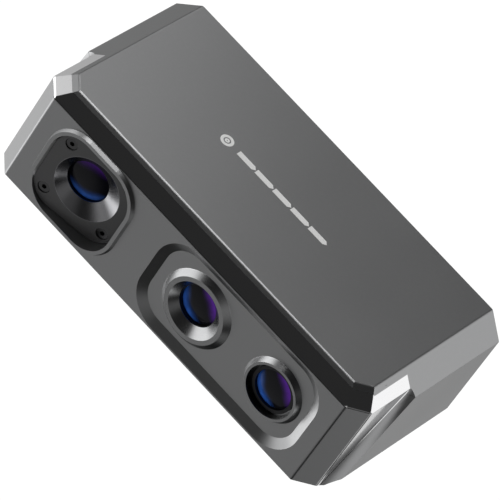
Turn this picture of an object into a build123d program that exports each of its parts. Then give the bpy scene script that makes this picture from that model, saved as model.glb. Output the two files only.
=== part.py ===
"""Handheld structured-light scanner: a faceted metal box with a toed-in pattern projector and
two cameras in its front, a scan button and a cable socket in its rear, and a tripod thread below.

Frame: millimetres, +Z up, optics look along -Y, +X along the box, origin under the middle of
the overall box, on the surface it stands on.
"""
from build123d import *
from math import hypot
import os

# ------------------------------------------------------------------ driving dimensions
length = 120.0               # over both end walls, X
depth = 58.0                 # front face to rear edge, Y
height = 38.0                # underside to top face, Z
wall = 1.8                   # housing wall
seam_gap = 0.08              # between housing pieces
fit_gap = 0.10               # round a piece that drops into a pocket or a hole

# housing facets
end_step = 2.1               # the end walls stand out this far from the nose section
shoulder_out = 6.3           # top chamfer, across
shoulder_drop = 6.0          # top chamfer, down
top_corner = 3.9             # corner cut of the top face
nose_corner = 5.0            # corner cut of the nose section
edge_round = 1.0             # rounded edges of the top face and of the nose
belly_chamfer = 3.4          # lower edges
nose_end = 20.7              # how far the nose facets run back from the front face
scoop_start_low = 6.8        # concave step behind the nose, from the front face, at mid chamfer height
scoop_slope = 0.474          # how much further back it starts per millimetre of height
scoop_end_low = 13.0
scoop_end_slope = 0.326
scoop_hollow = 0.35

# front panel
panel_thickness = 2.2
collar_size = 28.6           # projector collar, square outline
collar_round = 9.5
collar_rise = 1.0
collar_flank = 0.5
collar_lip = 1.0
recess_width = 56.8          # camera recess, outline on the front face
recess_margin = 0.5          # flat land above and below the recess
recess_round = 10.0
recess_bevel = 2.5
recess_depth = 1.4
recess_floor = 2.0
projector_x = -33.3
recess_x = 19.9
inner_camera_x = 7.7
outer_camera_x = 35.4

# projector
projector_tilt = 11.0        # toe-in towards the cameras, degrees
plate_setback = 1.9          # plate centre behind the front face
plate_size = 26.0
plate_round = 7.5
plate_thickness = 3.4
plate_screw_x = 9.3
plate_screw_z = 8.6
funnel_radius = 9.2
projector_glass_radius = 5.9
funnel_depth = 2.45
funnel_skew = -1.1
shelf_thickness = 2.0
pocket_wall = 1.5
engine_size = 22.0
engine_length = 14.0

# cameras
camera_glass_radius = 5.5
glass_thickness = 1.2
barrel_wall = 0.9
barrel_length = 13.0
holder_size = 18.0

# screws
case_screw_radius = 1.25
small_screw_radius = 0.9
screw_clearance = 0.15

# rear
panel_setback = 0.4          # rear panel behind the rear edge
socket_pocket = (14.0, 8.0, 4.6)
button_radius = 5.5
button_gap = 0.18
button_travel = 0.5
button_x = 0.0
button_height = 24.0
light_x = 13.0

# electronics
board_thickness = 1.6
board_height = 6.0           # underside of the main board
tripod_minor_radius = 2.55   # 1/4 inch, 20 threads to the inch
tripod_thread_length = 6.0

# ------------------------------------------------------------------ derived places
half_length = length / 2
nose_half = half_length - end_step
y_front = -(depth + collar_rise) / 2 + collar_rise
y_back = (depth + collar_rise) / 2
z_shoulder = height - shoulder_drop
top_half = half_length - shoulder_out
crown_out = nose_half - top_half                             # the chamfer, where it meets the nose
z_nose = height - crown_out * shoulder_drop / shoulder_out
y_top_front = y_front + crown_out
optical_height = (belly_chamfer + z_nose) / 2                # middle of the front face
recess_height = z_nose - belly_chamfer - 2 * recess_margin
y_nose_end = y_front + nose_end
y_nose_side = y_front + nose_corner
inner_half = nose_half - wall
y_inner_front = y_front + panel_thickness
z_inner_top = height - wall
y_rear_panel = y_back - panel_setback
rear_panel_thickness = 2.2
y_rear_inside = y_rear_panel - rear_panel_thickness

nodes = {}


def keep(name, shape):
    """Put a finished piece in the model under its own name."""
    solids = shape.solids()
    nodes[name] = solids[0] if len(solids) == 1 else Compound(children=list(solids))


def nose_outline(half, front, back, corner, z):
    """Corners of a plan outline with two cut front corners, at one height."""
    return [
        (-half, back, z),
        (-half, front + corner, z),
        (-half + corner, front, z),
        (half - corner, front, z),
        (half, front + corner, z),
        (half, back, z),
    ]


def stack(levels):
    """Solid with flat facets through outlines at rising heights."""
    faces = [make_face(Polyline(levels[0], close=True)), make_face(Polyline(levels[-1], close=True))]
    for low, high in zip(levels[:-1], levels[1:]):
        for i in range(len(low)):
            j = (i + 1) % len(low)
            faces.append(make_face(Polyline([low[i], low[j], high[j], high[i]], close=True)))
    return Solid(Shell([face.faces()[0] for face in faces]))


def y_cylinder(x, y_start, y_end, z, radius):
    """Round bar along Y between two depths."""
    return Pos(x, (y_start + y_end) / 2, z) * Rot(90, 0, 0) * Cylinder(radius, abs(y_end - y_start))


def z_cylinder(x, y, z_low, z_high, radius):
    """Round bar along Z between two heights."""
    return Pos(x, y, (z_low + z_high) / 2) * Cylinder(radius, z_high - z_low)


def block(x_range, y_range, z_range):
    """Box between two corners."""
    size = [high - low for low, high in (x_range, y_range, z_range)]
    centre = [(high + low) / 2 for low, high in (x_range, y_range, z_range)]
    return Pos(*centre) * Box(*size)


def turned(profile, x, z, y_start):
    """Solid of revolution about an axis along +Y from a (radius, depth) profile."""
    outline = make_face(Polyline([(r, d) for r, d in profile], close=True))
    return Pos(x, y_start, z) * revolve(outline, Axis.Y)


def rounded_slab(width, tall, corner, thickness):
    """Rounded rectangle in XZ, thickness along +Y from zero."""
    return Rot(90, 0, 0) * extrude(RectangleRounded(width, tall, corner), -thickness)


def screw(radius, shank, head_radius, head_height):
    """Cap screw: shank along -Z from zero, head above zero with a hexagon socket."""
    body = Pos(0, 0, -shank / 2) * Cylinder(radius, shank)
    body += Pos(0, 0, head_height / 2) * Cylinder(head_radius, head_height)
    body -= Pos(0, 0, head_height) * extrude(RegularPolygon(head_radius * 0.45, 6), -head_height * 0.55)
    return body


# ------------------------------------------------------------------ housing
def scoop(side):
    """Cutter in front of one end wall: a slanted concave step back from the nose section."""
    sections = []
    for z in (-1, z_nose + 3):
        start = y_front + scoop_start_low + scoop_slope * (z - belly_chamfer)
        end = y_front + scoop_end_low + scoop_end_slope * (z - belly_chamfer)
        middle_x = side * ((nose_half + half_length) / 2 - scoop_hollow)
        outer = side * (half_length + 1)
        outline = Polyline((side * half_length, end), (outer, end), (outer, y_front - 1),
                           (side * nose_half, y_front - 1), (side * nose_half, start))
        outline += ThreePointArc((side * nose_half, start), (middle_x, (start + end) / 2), (side * half_length, end))
        sections.append(Pos(0, 0, z) * make_face(outline))
    return loft(sections, ruled=True)


def outer_body():
    """The whole housing as one solid block with one chamfer round its top."""
    wide = nose_corner + end_step
    base = stack([
        nose_outline(half_length - belly_chamfer, y_front + belly_chamfer, y_back, wide, 0),
        nose_outline(half_length, y_front, y_back, wide, belly_chamfer),
        nose_outline(half_length, y_front, y_back, wide, z_shoulder),
    ])
    upper = stack([nose_outline(half_length, y_front, y_back, wide, z) for z in (z_shoulder, height)])
    crown = stack([
        nose_outline(half_length, y_front - end_step, y_back, nose_corner, z_shoulder),
        nose_outline(top_half, y_top_front, y_back, top_corner, height),
    ])
    body = (base + (upper & crown) - (scoop(1) + scoop(-1))).clean().solids()[0]
    rounded = []
    for edge in body.edges():
        start, end = edge.vertices()[0], edge.vertices()[-1]
        middle = edge.center()
        on_top = abs(start.Z - height) < 1e-6 and abs(end.Z - height) < 1e-6 and middle.Y < y_back - 0.1
        upright = hypot(start.X - end.X, start.Y - end.Y) < 1e-6 and edge.length > height / 2
        at_nose = max(abs(start.Z - z_nose), abs(end.Z - z_nose)) < 0.3
        if on_top or ((upright or at_nose) and middle.Y < y_nose_side + 3):
            rounded.append(edge)
    return body.fillet(edge_round, rounded)


def inner_cavity(clear=0.0):
    """The hollow inside the walls, open at the rear; clear shrinks it for pieces that fit in it."""
    slope = shoulder_drop / shoulder_out
    drop = wall * hypot(1, slope)
    z_eave = height - (inner_half - top_half) * slope - drop
    top_inner = top_half + (height - drop - z_inner_top) / slope
    floor_in = 2.2
    y_in = y_inner_front + clear
    half = inner_half - clear
    return stack([
        nose_outline(half - floor_in, y_in + floor_in, y_back, 3.0, wall + clear),
        nose_outline(half, y_in, y_back, nose_corner - 0.8, wall + floor_in + clear),
        nose_outline(half, y_in, y_back, nose_corner - 0.8, z_eave - clear),
        nose_outline(top_inner - clear, y_in + 2.4, y_back, top_corner - 0.5, z_inner_top - clear),
    ])


everywhere = 2 * length
front_zone = block((-everywhere, everywhere), (-everywhere, y_nose_end), (z_nose, everywhere))
rear_zone = block((-everywhere, everywhere), (y_nose_end, everywhere), (z_shoulder, everywhere))
cover_zone = front_zone + rear_zone
panel_zone = block((-everywhere, everywhere), (-everywhere, y_nose_side), (belly_chamfer, z_nose))
shell = outer_body() - inner_cavity()

# case screws stand in posts on both housing shells; the front pair also holds the front panel's ears
case_screw_x = nose_half - 6.4
front_post_y = y_nose_side + 7.5
rear_post_y = y_back - 21.5
post_radius = 3.2
case_head_radius = 2.2
case_head_depth = 2.4
ear_thickness = 2.0
ear_low = optical_height - ear_thickness / 2
ear_high = optical_height + ear_thickness / 2
case_screw_length = height - wall - case_head_depth - 6.0
post_places = [(side * case_screw_x, y) for side in (-1, 1) for y in (front_post_y, rear_post_y)]
case_hole = case_screw_radius + screw_clearance

# rear panel screws go into bosses on the lower shell's end walls
rear_screw_x = inner_half - 2.4
rear_screw_heights = (8.0, z_shoulder - 4.5)
rear_boss_radius = 2.6
rear_boss_length = 9.0
seal_thickness = 0.8
rear_screw_places = [(side * rear_screw_x, z) for side in (-1, 1) for z in rear_screw_heights]
small_hole = small_screw_radius + screw_clearance
small_head_radius = 1.6
small_head_height = 1.2

# tripod insert in a boss on the floor
tripod_y = 0.0
insert_radius = 4.2
insert_flange_radius = 5.0
insert_flange = 1.0
boss_radius = 5.6
boss_top = tripod_thread_length + 1.6

# main board on four posts
board_top = board_height + board_thickness
pocket_wall_rear = 1.4
y_socket_floor = y_rear_panel - socket_pocket[2]
board_half = inner_half - 10.0
board_front = tripod_y - 6.0
board_rear = y_socket_floor - pocket_wall_rear - 0.5
board_post_radius = 2.4
board_posts = [(side * 28.0, board_front + 3.0) for side in (-1, 1)]
board_posts += [(side * 42.0, board_rear - 4.0) for side in (-1, 1)]


def housing_shells():
    """Top cover and lower shell with their posts and bosses."""
    cover = shell & cover_zone
    lower = shell - cover_zone - panel_zone
    lower -= block((-everywhere, everywhere), (y_nose_end, everywhere), (z_shoulder - seam_gap, everywhere))
    for x, y in post_places:
        meet = ear_low if y == front_post_y else optical_height
        start = ear_high if y == front_post_y else optical_height
        lower += z_cylinder(x, y, wall / 2, meet - seam_gap, post_radius)
        cover += z_cylinder(x, y, start + seam_gap, z_inner_top + wall / 2, post_radius)
    for x, z in rear_screw_places:
        y_end = y_rear_inside - seal_thickness - seam_gap
        boss = y_cylinder(x, y_end - rear_boss_length, y_end, z, rear_boss_radius)
        side = 1 if x > 0 else -1
        low, high = sorted((x, side * (inner_half + wall / 2)))
        boss += block((low, high), (y_end - rear_boss_length, y_end), (z - rear_boss_radius, z + rear_boss_radius))
        lower += boss
        lower -= y_cylinder(x, y_end - rear_boss_length + 1, y_end + 1, z, small_hole)
    lower += z_cylinder(0, tripod_y, wall / 2, boss_top, boss_radius)
    lower -= z_cylinder(0, tripod_y, -1, tripod_thread_length + fit_gap, insert_radius + fit_gap)
    lower -= z_cylinder(0, tripod_y, -1, insert_flange + fit_gap, insert_flange_radius + fit_gap)
    for x, y in board_posts:
        lower += z_cylinder(x, y, wall / 2, board_height, board_post_radius)
        lower -= z_cylinder(x, y, wall, board_height + 1, small_hole)
    for x, y in post_places:
        lower -= z_cylinder(x, y, z_shoulder - 1, height, post_radius + seam_gap)
        lower -= z_cylinder(x, y, -1, optical_height + 1, case_hole)
        lower -= z_cylinder(x, y, -1, case_head_depth, case_head_radius + screw_clearance)
        cover -= z_cylinder(x, y, optical_height, case_head_depth + case_screw_length + 1, case_hole)
    return cover, lower


# ------------------------------------------------------------------ front panel
plate_frame = Pos(projector_x, y_front + plate_setback, optical_height) * Rot(0, 0, projector_tilt)
shelf_back = plate_thickness + shelf_thickness
shelf_hole = projector_glass_radius + barrel_wall + abs(funnel_skew) + 0.4
plate_screw_places = [(sx * plate_screw_x, sz * plate_screw_z) for sx in (-1, 1) for sz in (-1, 1)]
mount_screw_x = 11.4
y_recess_floor = y_front + recess_depth
y_recess_back = y_recess_floor + recess_floor
bracket_front = y_front + 10.0
bracket_thickness = 2.5
bracket_screw_rows = (8.0, 30.0)
lens_offsets = {"inner_camera": -0.5, "outer_camera": 0.0}
camera_places = {"inner_camera": inner_camera_x, "outer_camera": outer_camera_x}
bracket_columns = (inner_camera_x - 12.2, (inner_camera_x + outer_camera_x) / 2, outer_camera_x + 11.0)
bracket_places = [(x, optical_height + dz) for x in bracket_columns for dz in (-11.0, 11.0)]
post_bar_radius = 2.2
hood_spigot = {"inner_camera": camera_glass_radius + 2.5, "outer_camera": camera_glass_radius + 2.7}


def facing(place, width, tall, corner):
    """Rounded rectangle looking along -Y at a place."""
    return place * Rot(90, 0, 0) * RectangleRounded(width, tall, corner)


def front_panel_shape():
    """Front wall with the tilted projector pocket, its collar and the camera recess."""
    face = Pos(projector_x, y_front, optical_height)
    crest = Pos(projector_x, y_front - collar_rise, optical_height)
    plate_hole = plate_size + 2 * fit_gap
    bucket = plate_size + 2 * pocket_wall
    mouth = collar_size - 2 * collar_lip
    base = collar_size + 2 * collar_flank
    panel = shell & panel_zone
    panel -= block((-everywhere, everywhere), (-everywhere, everywhere), (z_nose - 2 * seam_gap, everywhere))
    panel += loft([facing(crest, collar_size, collar_size, collar_round),
                   facing(face, base, base, collar_round + collar_flank)], ruled=True)
    panel += loft([facing(face, collar_size, collar_size, collar_round),
                   facing(plate_frame * Pos(0, shelf_back, 0), bucket, bucket, plate_round + pocket_wall)], ruled=True)
    lower_recess = recess_width - 2 * recess_bevel
    lower_height = recess_height - 2 * recess_bevel
    recess_face = Pos(recess_x, y_front, optical_height)
    tray = Pos(recess_x, y_front + panel_thickness / 2, optical_height)
    panel += tray * rounded_slab(lower_recess + 2, lower_height + 2, recess_round - recess_bevel + 1,
                                 y_recess_back - y_front - panel_thickness / 2)
    panel -= loft([facing(recess_face, recess_width, recess_height, recess_round),
                   facing(recess_face * Pos(0, recess_depth, 0), lower_recess, lower_height,
                          recess_round - recess_bevel)], ruled=True)
    for side in (-1, 1):
        low, high = sorted((side * (case_screw_x - post_radius), side * (case_screw_x + post_radius - 0.2)))
        panel += block((low, high), (y_inner_front + 1.3, front_post_y + post_radius), (ear_low, ear_high))
        panel -= z_cylinder(side * case_screw_x, front_post_y, ear_low - 1, ear_high + 1, case_hole)
    for x, z in bracket_places:
        panel += y_cylinder(x, y_recess_floor + recess_floor / 2, bracket_front, z, post_bar_radius)
        panel -= y_cylinder(x, bracket_front - 5, bracket_front + 1, z, small_hole)
    for name, x in camera_places.items():
        panel -= y_cylinder(x, y_front - 2, y_recess_back + 1, optical_height, hood_spigot[name] + fit_gap)
    panel -= loft([facing(crest, mouth, mouth, collar_round - collar_lip),
                   facing(plate_frame, plate_hole, plate_hole, plate_round)], ruled=True)
    panel -= plate_frame * rounded_slab(plate_hole, plate_hole, plate_round, plate_thickness)
    panel -= plate_frame * y_cylinder(0, 0, shelf_back + 1, 0, shelf_hole)
    for x, z in plate_screw_places + [(-mount_screw_x, 0), (mount_screw_x, 0)]:
        panel -= plate_frame * y_cylinder(x, 0, shelf_back + 1, z, small_hole)
    return panel


# ------------------------------------------------------------------ glass, screws and boards
cable_thickness = 0.3
cable_width = 8.0


def lens_disc(radius, thick_edge, bulge_front, bulge_back, x, z, y_start):
    """Lens about Y with domed faces; y_start is its front rim."""
    disc = y_cylinder(0, -bulge_front, thick_edge + bulge_back, 0, radius)
    ball_front = (radius**2 + bulge_front**2) / (2 * bulge_front)
    ball_back = (radius**2 + bulge_back**2) / (2 * bulge_back)
    disc &= Pos(0, ball_front - bulge_front, 0) * Sphere(ball_front)
    disc &= Pos(0, thick_edge + bulge_back - ball_back, 0) * Sphere(ball_back)
    return Pos(x, y_start, z) * disc


def screw_from(side, x, y, z, shank):
    """Small screw with its head on one side, the underside of the head at a place."""
    turn = {"+Y": Rot(-90, 0, 0), "-Y": Rot(90, 0, 0), "+Z": Rot(0, 0, 0)}[side]
    return Pos(x, y, z) * turn * screw(small_screw_radius, shank, small_head_radius, small_head_height)


def flat_cable(points, width, x):
    """Flat strip that follows a bent line in YZ, its width along X."""
    line = FilletPolyline(*points, radius=0.6)
    strip = extrude(Plane.YZ * trace(line, cable_thickness), width / 2, both=True)
    return Pos(x, 0, 0) * strip


# ------------------------------------------------------------------ projector
bore_radius = projector_glass_radius + barrel_wall
barrel_start = funnel_depth + 0.2
barrel_tail = shelf_back + 7.0
engine_start = shelf_back + seam_gap
engine_end = engine_start + engine_length
mask_wall = engine_start + 9.5
cavity = 12.0


def projector_plate():
    """Dark plate at the bottom of the pocket with a skewed funnel and four screw pockets."""
    plate = rounded_slab(plate_size, plate_size, plate_round - fit_gap, plate_thickness)
    plate -= loft([Rot(90, 0, 0) * Circle(funnel_radius),
                   Pos(funnel_skew, funnel_depth, 0) * Rot(90, 0, 0) * Circle(projector_glass_radius)], ruled=True)
    plate -= y_cylinder(funnel_skew, funnel_depth - 0.1, plate_thickness + 1, 0, projector_glass_radius)
    plate -= y_cylinder(funnel_skew, barrel_start - seam_gap, plate_thickness + 1, 0, bore_radius + fit_gap)
    for x, z in plate_screw_places:
        plate -= y_cylinder(x, -1, small_head_height + 0.3, z, small_head_radius + screw_clearance)
        plate -= y_cylinder(x, -1, plate_thickness + 1, z, small_hole)
    return plate


def projector_parts():
    """Everything on the projector's own tilted axis, behind its plate."""
    skew = funnel_skew
    glass = projector_glass_radius
    barrel = turned([(glass, 0), (bore_radius, 0), (bore_radius, barrel_tail - barrel_start),
                     (glass - 1.2, barrel_tail - barrel_start), (glass - 1.2, 2.4), (glass, 2.4)],
                    skew, 0, barrel_start)
    front_lens = lens_disc(glass - 0.05, 1.0, 0.7, 0.4, skew, 0, barrel_start + 0.9)
    rear_lens = lens_disc(glass - 1.25, 1.2, 0.4, 0.6, skew, 0, barrel_tail - 2.2)
    engine = block((-engine_size / 2, engine_size / 2), (engine_start, engine_end),
                   (-engine_size / 2, engine_size / 2))
    engine += block((-mount_screw_x - 2.2, mount_screw_x + 2.2), (engine_start, engine_start + 2), (-3.5, 3.5))
    engine -= y_cylinder(skew, engine_start - 1, mask_wall - 1, 0, bore_radius + fit_gap)
    engine -= block((-cavity / 3, cavity / 3), (mask_wall - 2, mask_wall + 1), (-cavity / 3, cavity / 3))
    engine -= block((-cavity / 2, cavity / 2), (mask_wall, engine_end + 1), (-cavity / 2, cavity / 2))
    for side in (-1, 1):
        x = side * mount_screw_x
        head = small_head_radius + 0.4
        engine -= y_cylinder(x, engine_start - 1, engine_start + 3, 0, small_hole)
        engine -= y_cylinder(x, engine_start + 2, engine_end + 1, 0, head)
    mask = block((-5.5, 5.5), (mask_wall, mask_wall + 0.8), (-5.5, 5.5))
    board_end = engine_end + 1.4
    board = block((-9.5, 9.5), (engine_end, board_end), (-10.0, 14.5))
    emitter = block((-1.8, 1.8), (engine_end - 0.9, engine_end), (-1.8, 1.8))
    sink = block((-9, 9), (board_end, board_end + 2), (-9, 9))
    for index in range(6):
        x = -8.5 + index * 3.4
        sink += block((x - 0.5, x + 0.5), (board_end + 2, board_end + 8.0), (-9, 9))
    pieces = {
        "projector_plate": projector_plate(),
        "projector_barrel": barrel,
        "projector_front_lens": front_lens,
        "projector_rear_lens": rear_lens,
        "projector_engine": engine,
        "pattern_mask": mask,
        "projector_led_board": board,
        "projector_led": emitter,
        "projector_heat_sink": sink,
        "projector_plate_screws": Compound(children=[
            screw_from("-Y", x, small_head_height + 0.3, z, plate_thickness + 0.2)
            for x, z in plate_screw_places]),
        "projector_mount_screws": Compound(children=[
            screw_from("+Y", side * mount_screw_x, engine_start + 2, 0, shelf_thickness + 1.6)
            for side in (-1, 1)]),
    }
    for name, piece in pieces.items():
        keep(name, plate_frame * piece)
    return board_end


# ------------------------------------------------------------------ cameras
hood_length = 5.5
hood_rim = 1.3
inner_funnel_depth = 2.25
outer_well_depth = 3.0
barrel_radius = camera_glass_radius + barrel_wall
hood_bore = barrel_radius + fit_gap
camera_barrel_start = {"inner_camera": 2.55, "outer_camera": 1.4}
holder_front = bracket_front + bracket_thickness
holder_length = 7.5
holder_back = holder_front + holder_length
holder_wall = holder_front + 4.4
sensor_board_thickness = 1.2
sensor_board_back = holder_back + sensor_board_thickness
ring_radius = barrel_radius + 2.2
lug = ring_radius + small_head_radius + 0.2
sensor_board_size = 2 * (lug + small_head_radius + 0.5)
connector_depth = 1.3


def inner_hood():
    """Broad conical ring with a funnel, round the camera next to the middle."""
    glass = camera_glass_radius + 0.2
    spigot = hood_spigot["inner_camera"]
    rim = camera_glass_radius + 3.7
    ring = turned([(0.5, 0), (rim, 0), (rim + 1.6, recess_depth), (spigot, recess_depth), (spigot, hood_length),
                   (0.5, hood_length)], inner_camera_x, optical_height, y_front)
    shift = lens_offsets["inner_camera"]
    centre = Pos(inner_camera_x, y_front, optical_height)
    ring -= loft([centre * Rot(90, 0, 0) * Circle(rim - hood_rim),
                  centre * Pos(shift, inner_funnel_depth, 0) * Rot(90, 0, 0) * Circle(glass)], ruled=True)
    x = inner_camera_x + shift
    ring -= y_cylinder(x, y_front - 1, y_front + hood_length + 1, optical_height, glass)
    ring -= y_cylinder(x, y_front + camera_barrel_start["inner_camera"] - seam_gap, y_front + hood_length + 1,
                       optical_height, hood_bore)
    return ring


def outer_hood():
    """Narrow conical ring with a stepped well, round the camera at the end."""
    spigot = hood_spigot["outer_camera"]
    well = camera_glass_radius + 1.8
    return turned([(well, 0), (well + 0.7, 0), (well + 1.7, recess_depth), (spigot, recess_depth),
                   (spigot, hood_length), (hood_bore, hood_length), (hood_bore, outer_well_depth),
                   (well, outer_well_depth)], outer_camera_x, optical_height, y_front)


def camera_parts(name, hood):
    """One camera from its hood back to its board."""
    x = camera_places[name] + lens_offsets[name]
    z = optical_height
    start = y_front + camera_barrel_start[name]
    glass = camera_glass_radius
    bore = glass - 1.0
    keep(f"{name}_hood", hood)
    keep(f"{name}_barrel", turned([
        (glass, 0), (barrel_radius, 0), (barrel_radius, barrel_length), (bore, barrel_length),
        (bore, 2.4), (glass, 2.4)], x, z, start))
    keep(f"{name}_front_lens", lens_disc(glass - 0.05, glass_thickness, 0.7, 0.3, x, z, start + 0.9))
    keep(f"{name}_rear_lens", lens_disc(bore - 0.05, 1.4, 0.3, 0.6, x, z, start + barrel_length - 2.4))
    ring = turned([(barrel_radius + 0.05, 0), (ring_radius, 0), (ring_radius, 1.5), (barrel_radius + 0.05, 1.5)],
                  x, z, bracket_front - 1.5 - seam_gap)
    for turn in (0, 90):
        ring -= Pos(x, bracket_front - 1.5, z) * Rot(0, turn, 0) * Box(2 * ring_radius + 1, 0.8, 1.6)
    keep(f"{name}_lock_ring", ring)
    half = holder_size / 2
    holder = block((x - half, x + half), (holder_front, holder_back), (z - half, z + half))
    holder += block((x - 3, x + 3), (holder_front, holder_front + 3), (z - lug - 2, z + lug + 2))
    holder += block((x - lug - 2, x + lug + 2), (holder_back - 3, holder_back), (z - 3, z + 3))
    holder -= y_cylinder(x, holder_front - 1, holder_wall, z, barrel_radius + 0.05)
    holder -= block((x - 3.5, x + 3.5), (holder_wall - 1, holder_back), (z - 3.5, z + 3.5))
    holder -= block((x - 6, x + 6), (holder_wall + 0.6, holder_back + 1), (z - 6, z + 6))
    screws = []
    for side in (-1, 1):
        holder -= y_cylinder(x, holder_front - 1, holder_front + 4, z + side * lug, small_hole)
        holder -= y_cylinder(x + side * lug, holder_back - 4, holder_back + 1, z, small_hole)
        screws.append(screw_from("-Y", x, bracket_front, z + side * lug, bracket_thickness + 2.6))
        screws.append(screw_from("+Y", x + side * lug, sensor_board_back, z, sensor_board_thickness + 2.6))
    keep(f"{name}_holder", holder)
    keep(f"{name}_filter", block((x - 4.5, x + 4.5), (holder_wall + 0.6, holder_wall + 1.1), (z - 4.5, z + 4.5)))
    keep(f"{name}_sensor", block((x - 4.2, x + 4.2), (holder_back - 1.2, holder_back), (z - 4.2, z + 4.2)))
    board = sensor_board_size / 2
    plate = block((x - board, x + board), (holder_back, sensor_board_back), (z - board, z + board))
    for side in (-1, 1):
        plate -= y_cylinder(x + side * lug, holder_back - 1, sensor_board_back + 1, z, small_hole)
    keep(f"{name}_board", plate)
    return screws


def camera_bracket():
    """Flat bracket that carries both cameras on the front panel's bars."""
    low, high = bracket_columns[0] - 2.6, bracket_columns[-1] + 1.7
    bracket = block((low, high), (bracket_front, holder_front), (optical_height - 13, optical_height + 13))
    for name, place in camera_places.items():
        x = place + lens_offsets[name]
        bracket -= y_cylinder(x, bracket_front - 1, holder_front + 1, optical_height, barrel_radius + 0.3)
        for side in (-1, 1):
            bracket -= y_cylinder(x, bracket_front - 1, holder_front + 1, optical_height + side * lug, small_hole)
    for x, z in bracket_places:
        bracket -= y_cylinder(x, bracket_front - 1, holder_front + 1, z, small_hole)
    return bracket


# ------------------------------------------------------------------ rear panel
socket_z = board_top + 1.6
y_button_board = y_rear_inside - 9.5
standoffs = (-10.5, 20.0)
button_flange = button_radius + 0.9


def rear_panel_shape():
    """Rear wall with a cable pocket, a button hole, a light hole and two standoffs."""
    slab = block((-everywhere, everywhere), (y_rear_inside, y_rear_panel), (-everywhere, everywhere))
    panel = inner_cavity(clear=fit_gap) & slab
    wide, tall, deep = socket_pocket
    pocket = Pos(0, y_socket_floor - pocket_wall_rear, socket_z)
    panel += pocket * rounded_slab(wide + 2.8, tall + 2.4, tall / 2, deep + pocket_wall_rear - 0.5)
    panel -= Pos(0, y_socket_floor, socket_z) * rounded_slab(wide, tall, tall / 2 - 0.1, deep + 1)
    panel -= pocket * Pos(0, -1, 0) * rounded_slab(9.2, 3.4, 1.6, deep)
    panel -= y_cylinder(button_x, y_rear_inside - 1, y_rear_panel + 1, button_height, button_radius + button_gap)
    panel -= y_cylinder(light_x, y_rear_inside - 1, y_rear_panel + 1, button_height, 1.3 + fit_gap)
    for x in standoffs:
        panel += y_cylinder(x, y_button_board + board_thickness, y_rear_inside + 1, button_height, 2.0)
        panel -= y_cylinder(x, y_button_board, y_rear_inside - 1, button_height, small_hole)
    for x, z in rear_screw_places:
        panel -= y_cylinder(x, y_rear_inside - 1, y_rear_panel + 1, z, small_hole)
        panel -= y_cylinder(x, y_rear_panel - small_head_height - 0.2, y_rear_panel + 1, z,
                            small_head_radius + screw_clearance)
    return panel


def rear_seal():
    """Flat ring that seals the rear panel's edge."""
    y_end = y_rear_inside
    slab = block((-everywhere, everywhere), (y_end - seal_thickness, y_end), (-everywhere, everywhere))
    return (inner_cavity(clear=0.15) & slab) - inner_cavity(clear=1.3)


def button_parts():
    """Scan button with its switch, board and status light."""
    z = button_height
    inner = y_rear_inside - seam_gap
    cap = y_cylinder(button_x, inner, y_rear_panel + 0.3, z, button_radius)
    cap += y_cylinder(button_x, inner - 0.9, inner, z, button_flange)
    cap += y_cylinder(button_x, inner - 2.5, inner - 0.9, z, 1.6)
    plunger_top = inner - 2.5
    board_face = y_button_board + board_thickness
    switch = block((button_x - 3, button_x + 3), (board_face, board_face + 3.5), (z - 3, z + 3))
    switch -= y_cylinder(button_x, board_face + 1.6, board_face + 4, z, 1.7)
    plunger = y_cylinder(button_x, board_face + 1.6 + button_travel + 0.3, plunger_top, z, 1.5)
    keep("scan_button", cap)
    keep("switch_plunger", plunger)
    keep("scan_switch", switch)
    board = block((standoffs[0] - 3, standoffs[1] + 3), (y_button_board, board_face), (z - 7, z + 7))
    for x in standoffs:
        board -= y_cylinder(x, y_button_board - 1, board_face + 1, z, small_hole)
    keep("button_board", board)
    pipe = y_cylinder(light_x, board_face + 1.4, y_rear_panel, z, 1.3)
    pipe += y_cylinder(light_x, inner - 1.0, inner, z, 2.1)
    keep("status_light_pipe", pipe)
    keep("status_led", block((light_x - 1, light_x + 1), (board_face, board_face + 0.8), (z - 1, z + 1)))
    return [screw_from("-Y", x, y_button_board, z, 5.0) for x in standoffs]


# ------------------------------------------------------------------ electronics
camera_cable_x = {name: x + 5.0 for name, x in camera_places.items()}
processor_x = 26.0
processor_y = 7.0


def main_board():
    """Main board, notched round the tripod boss."""
    board = block((-board_half, board_half), (board_front, board_rear), (board_height, board_top))
    notch = boss_radius + 1.0
    board -= z_cylinder(0, tripod_y, board_height - 1, board_top + 1, notch)
    board -= block((-notch, notch), (board_front - 1, tripod_y), (board_height - 1, board_top + 1))
    for x, y in board_posts:
        board -= z_cylinder(x, y, board_height - 1, board_top + 1, small_hole)
    return board


def usb_socket():
    """Cable socket shell with its tongue."""
    centre = Pos(0, y_socket_floor - 7.5, socket_z)
    socket = centre * rounded_slab(9.0, 3.2, 1.55, 7.5)
    socket -= centre * Pos(0, 1.2, 0) * rounded_slab(8.3, 2.5, 1.2, 7.5)
    socket += centre * Pos(0, 1.0, 0) * rounded_slab(6.7, 0.7, 0.3, 5.5)
    return socket


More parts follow.
